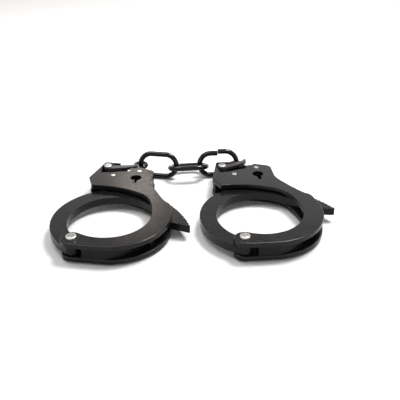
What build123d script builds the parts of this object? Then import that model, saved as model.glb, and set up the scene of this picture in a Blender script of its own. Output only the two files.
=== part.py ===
from build123d import *
import os
from math import acos, atan2, cos, degrees, radians, sin

# A pair of black handcuffs lying flat, joined by a chain of three oval links.
# Each cuff is drawn in its own frame: the wrist arc's centre is the origin, +Y points to the lock
# housing, and Z = 0 is the surface that the lower rivet heads stand on. Lengths are in millimetres.

# ---- the stack of layers ----
plate_thickness = 3.2
plate_gap = 6.2
foot_height = 0.9
bow_thickness = 5.0
edge_round = 0.45

lower_top = foot_height + plate_thickness
upper_bottom = lower_top + plate_gap
upper_top = upper_bottom + plate_thickness
gap_middle = (lower_top + upper_bottom) / 2

# ---- cheek outline ----
wrist_radius = 26.6
pivot = Vector(-18.9, -27.3)
arm_centre = Vector(3.3, -1.3)
arm_radius = 35.5
knuckle_radius = pivot.length - wrist_radius
front_radius = 64.6
front_left_angle = 87.5
front_right_angle = 56.0
side_corner = Vector(-19.3, 48.0)
back_left_corner = Vector(-10.6, 71.0)
back_bend = Vector(3.5, 68.6)
back_right_corner = Vector(25.4, 57.2)
throat_top = Vector(24.3, 48.5)
throat_waist = Vector(23.7, 42.5)
throat_middle = Vector(27.4, 30.2)
shoulder = Vector(35.0, 15.2)

# ---- bow: a ring with the pivot on its middle line, running into an arc about the pivot ----
bow_width = 10.5
bow_mid_radius = 33.5
bow_lead_angle = 50.8
tip_outer_angle = 14.8
tip_inner_angle = 22.3
tooth_count = 22
tooth_pitch = 2.28
tooth_depth = 1.0
ratchet_fade_angle = 73.0
right_bow_opening = 4.6

# ---- rivets, as shank radius, head radius and head height ----
pivot_rivet = (2.0, 3.2, 1.9)
small_rivet = (1.2, 1.6, 0.5)
lever_rivet_size = (1.4, 2.7, 1.3)
foot_radius = 3.0
running_clearance = 0.05
pawl_pin = Vector(-3.0, 50.4)
lever_pin = Vector(-8.0, 64.0)
swivel_pin = Vector(14.7, 56.1)

# ---- keyhole and lever window in the top cheek ----
key_centre = Vector(13.0, 47.2)
keyhole_radius = 3.8
key_slot_width = 2.8
key_slot_end = Vector(12.5, 40.6)
key_post_radius = 1.1
key_post_height = 5.4
key_post_root_radius = 1.5
window_left, window_right = -12.0, 8.0
notch_front = 61.1

# ---- lock parts ----
band_clearance = 0.4
wall = 2.2
spacer_inset = 0.5
pawl_first_angle = 60.6
pawl_teeth = 3
lever_rest_angle = 4.4
right_lever_swing = 9.0
lever_length = 20.6
lever_thickness = 2.2
lever_hub_radius = 2.9
spring_radius = 1.3
spring_wire_radius = 0.28
spring_length = 6.5
spring_seat = 9.0

# ---- swivel ----
swivel_length = 19.5
swivel_hub_radius = 3.9
swivel_neck_width = 4.6
swivel_thickness = 2.8
eye_radius = 4.0
eye_wire_radius = 1.35
eye_height = 8.5
left_swivel_lean = 2.3

# ---- chain ----
link_wire_radius = 1.85
link_length = 29.9
link_width = 19.5
link_play = 0.8
link_height = 9.7
middle_link_drop = 1.5
end_link_roll = 76.0
middle_link_roll = -20.0
seam_gap = 0.25
seam_step = 1.2
left_link_angle = -8.5
middle_link_angle = 7.0

# ---- where the cuffs lie ----
left_place = Pos(-56.8, -16.9, 0)
right_turn = 13.6
right_place = Pos(38.5, -12.8, 0) * Rot(0, 0, right_turn)


def polar(radius, angle, centre=pivot):
    """A point at a distance and an angle in degrees from a centre, the bow's pivot by default."""
    return centre + Vector(radius * cos(radians(angle)), radius * sin(radians(angle)))


def disc(centre, radius):
    return Pos(centre.X, centre.Y) * Circle(radius)


def polygon(*points):
    return make_face(Polyline(*points, close=True))


def slab(face, bottom, top):
    """A flat piece between two heights."""
    return extrude(Pos(0, 0, bottom) * face, top - bottom)


def cylinder(centre, radius, bottom, top):
    return slab(disc(centre, radius), bottom, top)


def rounded_plate(face, bottom, top, radius=edge_round):
    """A plate with the long edges of both faces rounded."""
    plate = slab(face, bottom, top)
    faces = plate.faces().sort_by(Axis.Z)
    rims = faces[0].outer_wire().edges() + faces[-1].outer_wire().edges()
    return fillet(rims, radius)


def clockwise(centre, radius, start, end):
    """An arc from one angle down to a smaller one."""
    return CenterArc(centre, radius, start, end - start)


def round_corners(face, corners, radius):
    """Round the corners of a face that lie at the given points."""
    found = [v for v in face.vertices() for c in corners if (Vector(v) - c).length < 0.01]
    return fillet(found, radius)


# ---------------------------------------------------------------- cheeks


def cheek_face():
    """The outline of both cheeks: housing, throat, arm, knuckle and wrist edge, clockwise."""
    reach = arm_centre - pivot
    away = degrees(atan2(-reach.Y, -reach.X))
    tangent = away + degrees(acos((arm_radius - knuckle_radius) / reach.length))
    to_wrist = degrees(atan2(-pivot.Y, -pivot.X))
    corner_wrist = polar(front_radius, front_left_angle)
    front_right = polar(front_radius, front_right_angle)
    falling = Vector(sin(radians(front_right_angle)), -cos(radians(front_right_angle)))
    arm_start = arm_centre + Vector(arm_radius, 0)
    arm_end = polar(arm_radius, tangent, arm_centre)
    knuckle_start = polar(knuckle_radius, tangent)
    edges = [
        Polyline(corner_wrist, side_corner, back_left_corner, back_bend, back_right_corner, throat_top),
        Spline(
            [throat_top, throat_waist, throat_middle, shoulder, arm_start],
            tangents=[Vector(-0.1, -1), Vector(0, -1)],
        ),
        clockwise(arm_centre, arm_radius, 0, tangent),
        Line(arm_end, knuckle_start),
        clockwise(pivot, knuckle_radius, tangent, to_wrist - 360),
        CenterArc((0, 0), wrist_radius, to_wrist - 180, 180 - to_wrist),
        Spline([Vector(wrist_radius, 0), front_right], tangents=[Vector(0, 1), falling * -1]),
        CenterArc(pivot, front_radius, front_right_angle, front_left_angle - front_right_angle),
    ]
    face = make_face(edges)
    face = round_corners(face, [back_right_corner], 4.6)
    face = round_corners(face, [back_left_corner], 1.6)
    face = round_corners(face, [back_bend], 8.0)
    return round_corners(face, [corner_wrist, side_corner], 1.2)


def rivet_holes():
    """Shank holes, the same in both cheeks."""
    return (
        disc(pivot, pivot_rivet[0])
        + disc(pawl_pin, small_rivet[0])
        + disc(swivel_pin, small_rivet[0])
        + disc(lever_pin, lever_rivet_size[0])
    )


def lever_window():
    """The opening that the release lever lies in, with a notch through the back edge for its tip."""
    front_left, front_right = Vector(window_left, 55.0), Vector(window_right, 57.0)
    body = polygon(
        front_left,
        (-5.0, 55.0),
        (0.0, 56.2),
        front_right,
        (window_right, notch_front),
        (13.6, notch_front),
        (15.6, 66.0),
        (8.0, 73.0),
        (0.6, 73.0),
        (0.2, 68.3),
        (-5.6, 67.3),
        (window_left, 65.0),
    )
    return round_corners(body, [front_left, front_right], 1.2) + disc(lever_pin, 3.6)


def keyhole():
    """A round hole with a slot for the bit."""
    run = key_slot_end - key_centre
    turn = degrees(atan2(run.Y, run.X))
    middle = (key_centre + key_slot_end) * 0.5
    slot = Pos(middle.X, middle.Y) * Rot(0, 0, turn) * Rectangle(run.length, key_slot_width)
    return disc(key_centre, keyhole_radius) + slot + disc(key_slot_end, key_slot_width / 2)


def bottom_cheek():
    plate = rounded_plate(cheek_face(), foot_height, lower_top)
    holes = rivet_holes() + disc(key_centre, key_post_root_radius)
    return plate - slab(holes, 0, lower_top + 1)


def top_cheek():
    plate = rounded_plate(cheek_face(), upper_bottom, upper_top)
    cuts = rivet_holes() + lever_window() + keyhole()
    return plate - slab(cuts, upper_bottom - 1, upper_top + 1)


# ---------------------------------------------------------------- spacers


def housing_region(inset):
    """The part of the outline behind the bow's band, drawn in from its edge."""
    yard = Pos(0, 55) * Rectangle(60, 50)
    return offset((cheek_face() & yard) - disc(pivot, band_edge() - spacer_inset), -inset)


def band_edge():
    """Distance from the pivot at which the spacers start, just past the bow's teeth."""
    return bow_mid_radius + ring_radii()[1] + band_clearance


def spacer(face):
    return slab(face, lower_top, upper_bottom)


def spring_axis():
    """Where the pawl spring stands on the frame's side wall, with +Z along the coil."""
    along = (back_left_corner - side_corner).normalized()
    inward = Vector(along.Y, -along.X)
    base = side_corner + along * spring_seat + inward * (spacer_inset + wall)
    return Plane((base.X, base.Y, gap_middle), z_dir=inward)


def lock_frame():
    """Wall along the side and back of the housing, with a front guide and a peg for the spring."""
    region = housing_region(spacer_inset)
    inside = housing_region(spacer_inset + wall)
    pawl_door = polygon(polar(70, 50), polar(84, 50), polar(80, 78), polar(70, 78))
    chain_door = polygon((6, 60), (6, 64), (-1, 71), (-1, 80), (40, 80), (40, 20), (14, 20), (14, 60))
    face = region - inside - pawl_door - chain_door - disc(lever_pin, lever_hub_radius + 0.4)
    peg = extrude(spring_axis() * Circle(spring_radius - spring_wire_radius - 0.15), 2.0)
    return spacer(face).solids().sort_by(SortBy.VOLUME)[-1] + peg


def throat_spacer():
    """Wall between the chain's way out and the throat, down to the bow's band."""
    region = cheek_face() & (Pos(-spacer_inset, 0) * cheek_face())
    strip = polygon((20.6, 54.0), (40, 60), (40, 20), (20.6, 20))
    face = (region & strip) - disc(pivot, band_edge())
    return spacer(face).solids().sort_by(SortBy.VOLUME)[-1]


def arm_spacer():
    """Web between the cheeks in front, which leaves the outer edge gradually and ends inside the arm."""
    web = offset(cheek_face(), -spacer_inset)
    web = web & disc(Vector(-1.9, -7.5), 28.8)
    window = polygon((-12.4, -24), (-12.4, -40), (26, -40), (26, -12), (20, -12), (-2, -24))
    return spacer((web & window) - disc(Vector(0, 0), wrist_radius + 0.4))


# ---------------------------------------------------------------- bow


def ring_radii():
    return bow_mid_radius - bow_width / 2, bow_mid_radius + bow_width / 2


def ratchet_edge(turn):
    """Outer edge over the teeth, from the smooth ring down to the tip: steep faces look back."""
    crest = bow_mid_radius + ring_radii()[1]
    root = crest - tooth_depth
    top = tip_outer_angle + tooth_pitch * (tooth_count + 0.5)
    points = [polar(crest, top + turn)]
    for n in range(tooth_count):
        back = top - n * tooth_pitch
        points.append(polar(root, back - 0.25 * tooth_pitch + turn))
        points.append(polar(crest, back - tooth_pitch + turn))
    points.append(polar(crest, tip_outer_angle + turn))
    return points


def bow(opening):
    """The swinging strand, turned back by an opening angle about its pivot."""
    inner, outer = ring_radii()
    centre = polar(bow_mid_radius, bow_lead_angle + opening)
    start = bow_lead_angle + opening
    reach = bow_mid_radius + inner
    teeth = ratchet_edge(opening)
    fade = ring_point(ratchet_fade_angle, opening)
    fade_angle = degrees(atan2((fade - centre).Y, (fade - centre).X))
    edges = [
        clockwise(pivot, reach, start, tip_inner_angle + opening),
        Line(polar(reach, tip_inner_angle + opening), teeth[-1]),
        Polyline(*teeth),
        Line(teeth[0], fade),
        CenterArc(centre, outer, fade_angle, start + 180 - fade_angle),
        CenterArc(pivot, bow_width / 2, start + 180, 180),
        clockwise(centre, inner, start + 180, start),
    ]
    face = round_corners(make_face(edges), [teeth[-1]], 0.55)
    face = round_corners(face, [polar(reach, tip_inner_angle + opening)], 2.0)
    bottom = gap_middle - bow_thickness / 2
    strand = slab(face, bottom, bottom + bow_thickness)
    hole = cylinder(pivot, pivot_rivet[0] + running_clearance, 0, upper_top)
    return strand - hole


def ring_point(angle, opening):
    """Where a line from the pivot leaves the ring's outer edge."""
    outer = ring_radii()[1]
    gap = radians(angle - bow_lead_angle)
    along = bow_mid_radius * cos(gap) + (outer**2 - (bow_mid_radius * sin(gap)) ** 2) ** 0.5
    return polar(along, angle + opening)


# ---------------------------------------------------------------- rivets and posts


def rivet(place, size, head_base):
    """A shank with a domed head on top and a flat foot below."""
    shank_radius, head_radius, head_height = size
    shank = cylinder(place, shank_radius, 0, head_base + 0.1)
    foot = cylinder(place, foot_radius, 0, foot_height)
    head = cylinder(place, head_radius, head_base, head_base + head_height)
    head = fillet(head.edges().sort_by(Axis.Z)[-1], head_height * 0.45)
    foot = chamfer(foot.edges().sort_by(Axis.Z)[0], 0.25)
    return shank + foot + head


def key_post():
    """Pin for a hollow key, set into the bottom cheek by a thicker root."""
    post = cylinder(key_centre, key_post_radius, lower_top, lower_top + key_post_height)
    root = cylinder(key_centre, key_post_root_radius, foot_height + 0.6, lower_top)
    return chamfer(post.edges().sort_by(Axis.Z)[-1], 0.3) + root


# ---------------------------------------------------------------- pawl, spring, lever


def pawl():
    """Ratchet catch just clear of the tooth crests, with an arm that the lever's finger pushes."""
    crest = bow_mid_radius + ring_radii()[1] + 0.25
    root = crest + tooth_depth - 0.15
    teeth = [polar(crest, pawl_first_angle)]
    for n in range(pawl_teeth):
        front = pawl_first_angle + n * tooth_pitch
        teeth.append(polar(root, front + 0.75 * tooth_pitch))
        teeth.append(polar(crest, front + tooth_pitch))
    back = [polar(74.2, 72.0), polar(76.6, 79.0), polar(82.0, 77.0), polar(79.4, 71.0)]
    beak = [polar(77.0, 66.5), polar(76.4, pawl_first_angle)]
    arm = polygon((-5.8, 50.6), (-6.4, 58.7), (-4.48, 59.0), (-1.8, 51.4))
    face = polygon(*teeth, *back, *beak) + disc(pawl_pin, 3.0) + arm
    body = slab(face, gap_middle - 2.0, gap_middle + 2.0)
    return body - cylinder(pawl_pin, small_rivet[0] + running_clearance, 0, upper_top)


def pawl_spring():
    """Coil on the frame's peg that leans on the pawl's arm."""
    pitch = spring_length / 6
    coil = Helix(pitch=pitch, height=spring_length - 2 * spring_wire_radius, radius=spring_radius)
    section = Plane(coil @ 0, z_dir=coil % 0) * Circle(spring_wire_radius)
    return spring_axis().location * Pos(0, 0, spring_wire_radius) * sweep(section, path=coil, is_frenet=True)


def lever_outline():
    """Blade seen from above, drawn along +X from its pin, with a tip that hooks to the back."""
    end = lever_length
    hook = [Vector(end - 1.4, -0.4), Vector(end, 2.2), Vector(end - 1.2, 3.3)]
    blade = polygon(
        (0, -2.9),
        (end - 8.6, -2.5),
        (end - 4.1, -1.6),
        *hook,
        (end - 2.8, 1.7),
        (end - 6.0, 1.4),
        (0, 1.7),
    )
    return round_corners(blade, hook, 0.5) + Circle(3.0)


def release_lever(swing):
    """Blade in the plane of the top cheek, with a hub and a finger in the gap below."""
    top = upper_top - 0.2
    blade = slab(lever_outline(), top - lever_thickness, top)
    finger = polygon((2.4, -1.6), (3.6, -6.2), (5.8, -5.6), (2.8, 0.4))
    hub = slab(Circle(lever_hub_radius), lower_top + 0.2, top - lever_thickness + 0.1)
    prong = slab(finger, gap_middle - 1.5, gap_middle + 1.5)
    bore = slab(Circle(lever_rivet_size[0] + running_clearance), 0, upper_top)
    turned = Pos(lever_pin.X, lever_pin.Y) * Rot(0, 0, lever_rest_angle + swing)
    return turned * (blade + hub + prong - bore)


# ---------------------------------------------------------------- swivel and chain


def swivel_eye(lean):
    """The eye's centre in the cuff's frame. The lean turns the tab anticlockwise from +Y."""
    return swivel_pin + Vector(-swivel_length * sin(radians(lean)), swivel_length * cos(radians(lean)))


def chain_swivel(lean):
    """Hub on its rivet, a flat neck through the back of the housing, and a round-section eye."""
    low = eye_height - swivel_thickness / 2
    hub = slab(Circle(swivel_hub_radius), lower_top + 0.15, upper_bottom - 0.15)
    neck_length = swivel_length - eye_radius
    neck = Pos(0, neck_length / 2) * Rectangle(swivel_neck_width, neck_length)
    neck = slab(neck, low, low + swivel_thickness)
    eye = Pos(0, swivel_length, eye_height) * Torus(eye_radius, eye_wire_radius)
    bore = slab(Circle(small_rivet[0] + running_clearance), 0, upper_top)
    turned = Pos(swivel_pin.X, swivel_pin.Y) * Rot(0, 0, lean)
    return turned * (hub + neck + eye - bore)


def link_path(gap, step):
    """Middle line of a link, from the seam round to the seam again; a step lifts the wire's first end."""
    bend = link_width / 2 - link_wire_radius
    half = link_length / 2 - link_wire_radius - bend
    return [
        Line((gap / 2, bend + step), (half, bend + step)),
        clockwise((half, step / 2), bend + step / 2, 90, -90),
        Line((half, -bend), (-half, -bend)),
        clockwise((-half, 0), bend, 270, 90),
        Line((-half, bend), (-gap / 2, bend)),
    ]


def link(centre, height, angle, roll, gap=0.0, step=0.0):
    """One oval link: placed, turned to its run of chain, and rolled about its long axis."""
    path = Wire(link_path(gap, step))
    section = Plane(path @ 0, x_dir=(0, 1, 0), z_dir=(1, 0, 0)) * Circle(link_wire_radius)
    wire = sweep(section, path=path)
    return Pos(centre.X, centre.Y, height) * Rot(0, 0, angle) * Rot(roll, 0, 0) * wire


def circles_meet(first, first_radius, second, second_radius):
    """The upper crossing of two circles."""
    line = second - first
    span = line.length
    along = (span**2 + first_radius**2 - second_radius**2) / (2 * span)
    across = (first_radius**2 - along**2) ** 0.5
    side = Vector(-line.Y, line.X) * (across / span)
    return first + line * (along / span) + side


def placed_point(place, point):
    return (place * Pos(point.X, point.Y, 0)).position


def chain_layout():
    """Chain joints in plan, from the left eye to the right eye, which its swivel turns to meet."""
    wire_to_wire = 2 * link_wire_radius + link_play
    end_run = link_length - 2 * link_wire_radius - wire_to_wire / 2
    middle_run = link_length - 2 * link_wire_radius - wire_to_wire
    left_eye = placed_point(left_place, swivel_eye(left_swivel_lean))
    first = polar(end_run, left_link_angle, left_eye)
    second = polar(middle_run, middle_link_angle, first)
    right_pin = placed_point(right_place, swivel_pin)
    right_eye = circles_meet(second, end_run, right_pin, swivel_length)
    return left_eye, first, second, right_eye


def heading(start, end):
    return degrees(atan2((end - start).Y, (end - start).X))


def chain_links():
    """The three links, each centred on its own length of wire."""
    left_eye, first, second, right_eye = chain_layout()
    reach = link_length / 2 - link_wire_radius
    right_angle = heading(second, right_eye)
    left_centre = polar(reach, left_link_angle, left_eye)
    middle_centre = (first + second) * 0.5
    right_centre = polar(-reach - seam_step / 3, right_angle, right_eye)
    middle_height = link_height - middle_link_drop
    return {
        "chain_link_left": link(left_centre, link_height, left_link_angle, end_link_roll),
        "chain_link_middle": link(middle_centre, middle_height, middle_link_angle, middle_link_roll),
        "chain_link_right": link(
            right_centre, link_height, right_angle, end_link_roll, seam_gap, seam_step
        ),
    }


def right_swivel_lean():
    """How far the right tab leans in its own cuff's frame."""
    right_eye = chain_layout()[3]
    right_pin = placed_point(right_place, swivel_pin)
    return heading(right_pin, right_eye) - 90 - right_turn


# ---------------------------------------------------------------- assembly


def cuff(side, place, opening, swing, lean):
    """Every piece of one cuff, named and laid in place."""
    pieces = {
        "top_cheek": top_cheek(),
        "bottom_cheek": bottom_cheek(),
        "lock_frame": lock_frame(),
        "throat_spacer": throat_spacer(),
        "arm_spacer": arm_spacer(),
        "bow": bow(opening),
        "bow_rivet": rivet(pivot, pivot_rivet, upper_top),
        "pawl": pawl(),
        "pawl_rivet": rivet(pawl_pin, small_rivet, upper_top),
        "pawl_spring": pawl_spring(),
        "key_post": key_post(),
        "release_lever": release_lever(swing),
        "lever_rivet": rivet(lever_pin, lever_rivet_size, upper_top - 0.1),
        "chain_swivel": chain_swivel(lean),
        "swivel_rivet": rivet(swivel_pin, small_rivet, upper_top),
    }
    return {f"{side}_{name}": place * piece for name, piece in pieces.items()}


def assembly():
    """All pieces, moved so that the origin is under the middle of the whole pair."""
    pieces = {
        **cuff("left", left_place, 0.0, 0.0, left_swivel_lean),
        **cuff("right", right_place, right_bow_opening, right_lever_swing, right_swivel_lean()),
        **chain_links(),
    }
    boxes = [piece.bounding_box() for piece in pieces.values()]
    low_x, high_x = min(b.min.X for b in boxes), max(b.max.X for b in boxes)
    low_y, high_y = min(b.min.Y for b in boxes), max(b.max.Y for b in boxes)
    shift = Pos(-(low_x + high_x) / 2, -(low_y + high_y) / 2, 0)
    return {name: shift * piece for name, piece in pieces.items()}, shift


nodes, origin_shift = assembly()
os.makedirs("parts", exist_ok=True)
for node_name, node in nodes.items():
    export_step(node, f"parts/{node_name}.step")
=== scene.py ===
from math import cos, radians, sin

import bpy
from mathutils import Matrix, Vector


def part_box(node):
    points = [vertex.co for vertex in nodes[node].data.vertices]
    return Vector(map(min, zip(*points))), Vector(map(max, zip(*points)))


# Black coated handcuffs on white paper under soft studio light. Lengths are in metres.

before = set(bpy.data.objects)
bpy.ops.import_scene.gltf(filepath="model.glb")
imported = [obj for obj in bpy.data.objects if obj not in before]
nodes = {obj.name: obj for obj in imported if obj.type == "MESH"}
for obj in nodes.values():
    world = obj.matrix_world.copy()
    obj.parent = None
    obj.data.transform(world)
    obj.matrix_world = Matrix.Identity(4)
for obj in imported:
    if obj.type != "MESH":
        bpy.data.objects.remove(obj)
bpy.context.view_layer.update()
scene = bpy.context.scene
scene.view_settings.view_transform = "Standard"

# ---- texture scales, in features per metre, and the relief that goes with them ----
mottle_scale, rub_scale, chip_scale, peel_scale = 90, 260, 420, 3200
patch_scale, scratch_scale = 700, 1400
rub_stretch = (1.0, 7.0, 1.0)
scratch_stretch = (1.0, 9.0, 1.0)
rub_depth, peel_depth, scratch_depth = 0.00004, 0.00002, 0.00003
worn_edge_radius = 0.0004
worn_steel = (0.16, 0.155, 0.15, 1.0)

# ---- how strongly the coating reflects on upright sides and on flat tops; the weaker reflection on upright sides is painted shade ----
side_reflection_painted_shade, top_reflection = 0.16, 0.55

# ---- light: the sky's brightness against the sine of its elevation, then the lamps ----
sky_levels = ((0.0, 0.85), (0.44, 1.0), (0.56, 0.10), (0.80, 0.05), (0.90, 0.5), (1.0, 0.6))
sky_tint = (1.0, 0.99, 0.98)
centre = (0, 0, 0)
left_throat = (-0.037, 0.006, 0.013)
lamps = (
    # name, place, aim, diameter, watts, colour
    ("key", (0.26, 0.20, 0.70), centre, 0.30, 6.5, (1.0, 0.985, 0.97)),
    ("glint", (-0.10, 0.613, 0.356), left_throat, 0.07, 0.055, (1.0, 0.88, 0.78)),
    ("fill", (-0.30, 0.10, 0.75), centre, 0.6, 2.5, (0.97, 0.98, 1.0)),
)

# ---- floor and camera; the camera aims at a point level with the top of the cheeks ----
floor_half = 3.0
aim_x, aim_y = 0.003324, -0.006341
camera_tilt = radians(30.31)
camera_distance = 0.4265
sensor_width = 36.0
focal_length = 59.49


# ---------------------------------------------------------------- materials


class Shader:
    """A Principled material with short calls for the nodes that feed it."""

    def __init__(self, name):
        self.material = bpy.data.materials.new(name)
        self.material.use_nodes = True
        self.tree = self.material.node_tree
        self.principled = self.tree.nodes["Principled BSDF"]
        coordinates = self.add("ShaderNodeTexCoord").outputs
        self.coordinates = coordinates["Object"]
        self.upward = self.add("ShaderNodeSeparateXYZ", Vector=coordinates["Normal"]).outputs["Z"]

    def add(self, kind, **inputs):
        """A node with its input sockets set from numbers, or linked from other sockets."""
        node = self.tree.nodes.new(kind)
        for key, value in inputs.items():
            self.feed(node.inputs[key], value)
        return node

    def feed(self, socket, value):
        if isinstance(value, bpy.types.NodeSocket):
            self.tree.links.new(value, socket)
        else:
            socket.default_value = value

    def set(self, **inputs):
        """Feed the Principled node's sockets, with underscores for spaces in their names."""
        for key, value in inputs.items():
            self.feed(self.principled.inputs[key.replace("_", " ")], value)

    def noise(self, scale, detail, stretch=(1, 1, 1)):
        """Noise with features of about 1 / scale metres; stretch makes it streaky."""
        mapping = self.add("ShaderNodeMapping", Vector=self.coordinates, Scale=stretch)
        texture = self.add("ShaderNodeTexNoise", Scale=scale, Detail=detail, Roughness=0.55)
        self.tree.links.new(mapping.outputs["Vector"], texture.inputs["Vector"])
        return texture.outputs["Fac"]

    def spread(self, value, low, high, start=0.3, end=0.7):
        """Stretch a socket's range from start..end to low..high."""
        node = self.add("ShaderNodeMapRange", Value=value)
        keys = ("From Min", "From Max", "To Min", "To Max")
        for key, number in zip(keys, (start, end, low, high)):
            node.inputs[key].default_value = number
        return node.outputs["Result"]

    def blend(self, factor, first, second):
        """Mix of two colours or colour sockets."""
        node = self.add("ShaderNodeMixRGB")
        for socket, value in zip(node.inputs, (factor, first, second)):
            self.feed(socket, value)
        return node.outputs["Color"]

    def product(self, first, second):
        node = self.add("ShaderNodeMath")
        node.operation = "MULTIPLY"
        self.feed(node.inputs[0], first)
        self.feed(node.inputs[1], second)
        return node.outputs["Value"]

    def edges(self, radius, reach):
        """1 on sharp edges, falling to 0 within about a radius of them."""
        soft = self.add("ShaderNodeBevel", Radius=radius)
        soft.samples = 4
        flat = self.add("ShaderNodeNewGeometry")
        dot = self.add("ShaderNodeVectorMath")
        dot.operation = "DOT_PRODUCT"
        self.tree.links.new(soft.outputs["Normal"], dot.inputs[0])
        self.tree.links.new(flat.outputs["Normal"], dot.inputs[1])
        return self.spread(dot.outputs["Value"], 1.0, 0.0, 1.0 - reach, 0.995)

    def bump(self, height, strength, distance, under=None):
        node = self.add("ShaderNodeBump", Height=height, Strength=strength, Distance=distance)
        if under is not None:
            self.tree.links.new(under, node.inputs["Normal"])
        return node.outputs["Normal"]


def shade(colour, factor):
    return tuple(channel * factor for channel in colour) + (1.0,)


def coated(name, colour, roughness, wear, gloss=0.0):
    """Black coated steel: mottled sheen, orange peel, rub marks, worn edges, and upright sides
    whose reflection is turned down as painted shade.
    """
    s = Shader(name)
    mottle = s.noise(mottle_scale, 4)
    rubs = s.noise(rub_scale, 3, rub_stretch)
    peel = s.noise(peel_scale, 2)
    chips = s.spread(s.noise(chip_scale, 2), 0.0, wear, 0.5, 0.7)
    tone = s.blend(s.spread(mottle, 0, 1), shade(colour, 0.75), shade(colour, 1.3))
    worn = s.product(s.edges(worn_edge_radius, 0.2), chips)
    s.set(Base_Color=s.blend(worn, tone, worn_steel))
    s.set(Roughness=s.spread(rubs, roughness - 0.05, roughness + 0.08))
    s.set(Coat_Weight=gloss, Coat_Roughness=0.1)
    # painted shade: upright sides reflect less than flat tops, so they render darker
    s.set(Specular_IOR_Level=s.spread(s.upward, side_reflection_painted_shade, top_reflection, 0.1, 0.8))
    s.set(Normal=s.bump(rubs, 0.08, rub_depth, s.bump(peel, 0.25, peel_depth)))
    return s.material


def bare_steel(name, colour, roughness):
    """Uncoated or plated steel: metallic, with fine scratches and a dull patchiness."""
    s = Shader(name)
    patches = s.noise(patch_scale, 4)
    lines = s.noise(scratch_scale, 3, scratch_stretch)
    s.set(Base_Color=s.blend(s.spread(patches, 0, 1), shade(colour, 0.82), shade(colour, 1.08)))
    s.set(Roughness=s.spread(lines, roughness - 0.08, roughness + 0.12))
    s.set(Metallic=1.0, Normal=s.bump(lines, 0.3, scratch_depth))
    return s.material


cheek_black = coated("cheek_black", (0.010, 0.009, 0.009), 0.20, 0.6)
bow_black = coated("bow_black", (0.004, 0.004, 0.005), 0.24, 0.5)
inner_black = coated("inner_black", (0.003, 0.003, 0.004), 0.40, 0.2)
link_black = coated("link_black", (0.002, 0.002, 0.003), 0.16, 0.4, gloss=0.2)
lever_grey = coated("lever_grey", (0.052, 0.047, 0.056), 0.26, 0.8)
bright_rivet = bare_steel("bright_rivet", (0.86, 0.85, 0.83), 0.24)
lock_steel = bare_steel("lock_steel", (0.30, 0.29, 0.29), 0.42)

# Each cuff's nodes are named by their side, left or right, and then one of these.
finishes = {
    "top_cheek": cheek_black,
    "bottom_cheek": cheek_black,
    "lock_frame": inner_black,
    "throat_spacer": inner_black,
    "arm_spacer": inner_black,
    "bow": bow_black,
    "bow_rivet": bright_rivet,
    "pawl": lock_steel,
    "pawl_rivet": bright_rivet,
    "pawl_spring": lock_steel,
    "key_post": lock_steel,
    "release_lever": lever_grey,
    "lever_rivet": bright_rivet,
    "chain_swivel": link_black,
    "swivel_rivet": bright_rivet,
}
for name, node in nodes.items():
    is_link = name.startswith("chain_link")
    finish = link_black if is_link else finishes[name.split("_", 1)[1]]
    node.data.materials.clear()
    node.data.materials.append(finish)


# ---------------------------------------------------------------- floor, light and camera


def paper():
    s = Shader("floor_paper")
    tone = s.spread(s.noise(30, 3), 0.0, 1.0)
    s.set(Base_Color=s.blend(tone, (0.86, 0.855, 0.85, 1), (0.88, 0.875, 0.87, 1)))
    s.set(Roughness=0.85, Specular_IOR_Level=0.1, Normal=s.bump(s.noise(900, 2), 0.05, 0.0001))
    return s.material


def floor():
    mesh = bpy.data.meshes.new("floor")
    corners = [
        (side_x * floor_half, side_y * floor_half, 0)
        for side_x, side_y in ((-1, -1), (1, -1), (1, 1), (-1, 1))
    ]
    mesh.from_pydata(corners, [], [(0, 1, 2, 3)])
    plate = bpy.data.objects.new("floor", mesh)
    scene.collection.objects.link(plate)
    mesh.materials.append(paper())


def area_light(name, place, aim, diameter, watts, colour):
    lamp = bpy.data.lights.new(name, "AREA")
    lamp.shape = "DISK"
    lamp.size = diameter
    lamp.energy = watts
    lamp.color = colour
    holder = bpy.data.objects.new(name, lamp)
    holder.location = place
    towards = Vector(aim) - Vector(place)
    holder.rotation_euler = towards.to_track_quat("-Z", "Y").to_euler()
    scene.collection.objects.link(holder)


def sky():
    """World light that depends only on elevation, so flat tops shade from back to front."""
    world = bpy.data.worlds.new("studio")
    world.use_nodes = True
    tree = world.node_tree
    background = tree.nodes["Background"]
    direction = tree.nodes.new("ShaderNodeTexCoord")
    split = tree.nodes.new("ShaderNodeSeparateXYZ")
    ramp = tree.nodes.new("ShaderNodeValToRGB")
    elements = ramp.color_ramp.elements
    while len(elements) < len(sky_levels):
        elements.new(0.5)
    for element, (place, level) in zip(elements, sky_levels):
        element.position = place
        element.color = shade(sky_tint, level)
    tree.links.new(direction.outputs["Generated"], split.inputs["Vector"])
    tree.links.new(split.outputs["Z"], ramp.inputs["Fac"])
    tree.links.new(ramp.outputs["Color"], background.inputs["Color"])
    background.inputs["Strength"].default_value = 1.0
    scene.world = world


def camera():
    """Looks down at the top face of the cheeks from the front."""
    top_of_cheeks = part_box("left_top_cheek")[1].z
    target = Vector((aim_x, aim_y, top_of_cheeks))
    lens = bpy.data.cameras.new("camera")
    lens.sensor_width = sensor_width
    lens.lens = focal_length
    lens.clip_start = 0.01
    holder = bpy.data.objects.new("camera", lens)
    backwards = Vector((0, -cos(camera_tilt), sin(camera_tilt)))
    holder.location = target + backwards * camera_distance
    holder.rotation_euler = (radians(90) - camera_tilt, 0, 0)
    scene.collection.objects.link(holder)
    scene.camera = holder


floor()
sky()
for lamp in lamps:
    area_light(*lamp)
camera()
